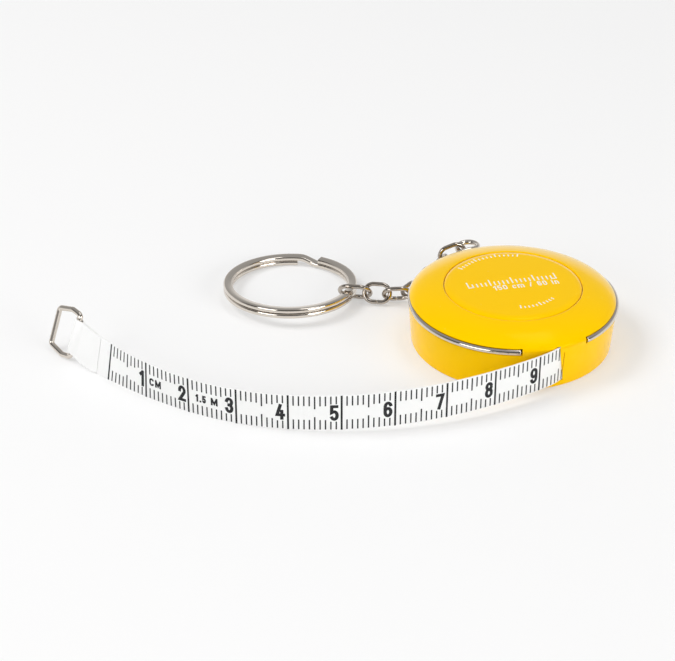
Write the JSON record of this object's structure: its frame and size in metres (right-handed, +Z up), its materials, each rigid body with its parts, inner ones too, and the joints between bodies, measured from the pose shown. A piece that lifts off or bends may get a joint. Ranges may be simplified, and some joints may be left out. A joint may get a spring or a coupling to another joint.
{
  "type": "measuring tape keychain",
  "caption": "Pocket measuring tape in a round case with a push button, wire bail, chain and key ring. Tape part way out on edge, ending in a wire pull loop.",
  "frame": {"origin": "centre of the case's flat base, on the plane that it rests on", "axes": "+Z up out of the push button, -Y towards the mouth that the tape comes out of, +Y towards the bail's eye"},
  "size_m": [0.1093, 0.0698, 0.0126],
  "materials": {
    "case_plastic": "gloss",
    "bright_steel": "polished",
    "spring_steel": "satin",
    "tape_white": "semi-gloss",
    "drum_plastic": "matte",
    "brake_rubber": "matte"
  },
  "bodies": {
    "case": {"lower_case": "case_plastic", "upper_case": "case_plastic", "wire_bail": "bright_steel", "mainspring": "spring_steel", "button_spring": "spring_steel"},
    "button": {"release_button": "case_plastic", "brake_disc": "brake_rubber"},
    "drum": {"tape_drum": "drum_plastic", "drum_cover": "drum_plastic", "wound_tape": "tape_white"},
    "tape_root": {"tape_root": "tape_white"},
    "tape_span_1": {"tape_span_1": "tape_white"},
    "tape_span_2": {"tape_span_2": "tape_white"},
    "tape_tip": {"tape_tip": "tape_white"},
    "pull_loop": {"pull_loop": "bright_steel"},
    "chain_link_1": {"chain_link_1": "bright_steel"},
    "chain_link_2": {"chain_link_2": "bright_steel"},
    "chain_link_3": {"chain_link_3": "bright_steel"},
    "chain_link_4": {"chain_link_4": "bright_steel"},
    "chain_link_5": {"chain_link_5": "bright_steel"},
    "chain_link_6": {"chain_link_6": "bright_steel"},
    "ring_link": {"ring_link": "bright_steel"},
    "key_ring": {"key_ring": "bright_steel"}
  },
  "joints": [
    {"name": "button_press", "type": "slide", "parent": "case", "child": "button", "axis": [0, 0, -1], "range_m": [0, 0.0009], "stiffness_N_per_m": 800, "springref_m": -0.0006, "deforming": ["button_spring"]},
    {"name": "tape_pull", "type": "slide", "parent": "case", "child": "tape_root", "axis": [-0.8744, -0.4851, 0], "range_m": [0, 0.01]},
    {"name": "drum_spin", "type": "hinge", "parent": "case", "child": "drum", "pos_m": [0, 0, 0], "axis": [0, 0, 1], "range_deg": [-31.5, 0]},
    {"name": "tape_bend_1", "type": "hinge", "parent": "tape_root", "child": "tape_span_1", "pos_m": [-0.01576, -0.02391, 0.0014], "axis": [0, 0, 1], "range_deg": [-20, 20]},
    {"name": "tape_bend_2", "type": "hinge", "parent": "tape_span_1", "child": "tape_span_2", "pos_m": [-0.045, -0.02002, 0.00049], "axis": [0, 0, 1], "range_deg": [-20, 20]},
    {"name": "tape_bend_3", "type": "hinge", "parent": "tape_span_2", "child": "tape_tip", "pos_m": [-0.06922, -0.00334, 0], "axis": [0, 0, 1], "range_deg": [-20, 20]},
    {"name": "loop_swing", "type": "hinge", "parent": "tape_tip", "child": "pull_loop", "pos_m": [-0.08375, 0.02239, 0.00487], "axis": [0.3504, 0.1801, 0.9191], "range_deg": [-100, 100]},
    {"name": "link_1_swing", "type": "hinge", "parent": "case", "child": "chain_link_1", "pos_m": [-0.0021, 0.0227, 0.0087], "axis": [0, 1, 0], "range_deg": [-15, 50]},
    {"name": "link_2_swing", "type": "hinge", "parent": "chain_link_1", "child": "chain_link_2", "pos_m": [-0.00573, 0.02349, 0.00707], "axis": [-0.3031, 0.048, 0.9517], "range_deg": [-45, 5]},
    {"name": "link_3_swing", "type": "hinge", "parent": "chain_link_2", "child": "chain_link_3", "pos_m": [-0.00813, 0.02305, 0.00355], "axis": [-0.1858, -0.955, 0.2313], "range_deg": [-40, 15]},
    {"name": "link_4_swing", "type": "hinge", "parent": "chain_link_3", "child": "chain_link_4", "pos_m": [-0.01161, 0.02072, 0.00256], "axis": [-0.4631, 0.1343, 0.876], "range_deg": [-40, 20]},
    {"name": "link_5_swing", "type": "hinge", "parent": "chain_link_4", "child": "chain_link_5", "pos_m": [-0.01524, 0.01881, 0.00236], "axis": [0.4812, -0.8595, -0.1723], "range_deg": [-40, 30]},
    {"name": "link_6_swing", "type": "hinge", "parent": "chain_link_5", "child": "chain_link_6", "pos_m": [-0.01915, 0.02112, 0.00236], "axis": [-0.177, -0.4356, 0.8826], "range_deg": [-45, 45]},
    {"name": "ring_link_swing", "type": "hinge", "parent": "chain_link_6", "child": "ring_link", "pos_m": [-0.02265, 0.0232, 0.00236], "axis": [-0.2366, -0.4575, -0.8571], "range_deg": [-45, 45]},
    {"name": "key_ring_swing", "type": "hinge", "parent": "ring_link", "child": "key_ring", "pos_m": [-0.02513, 0.0246, 0.00232], "axis": [0.5436, 0.8359, -0.0753], "range_deg": [-50, 50]}
  ],
  "couplings": [
    {"joint": "drum_spin", "follows": "tape_pull", "rad_per_m": -54.795}
  ]
}
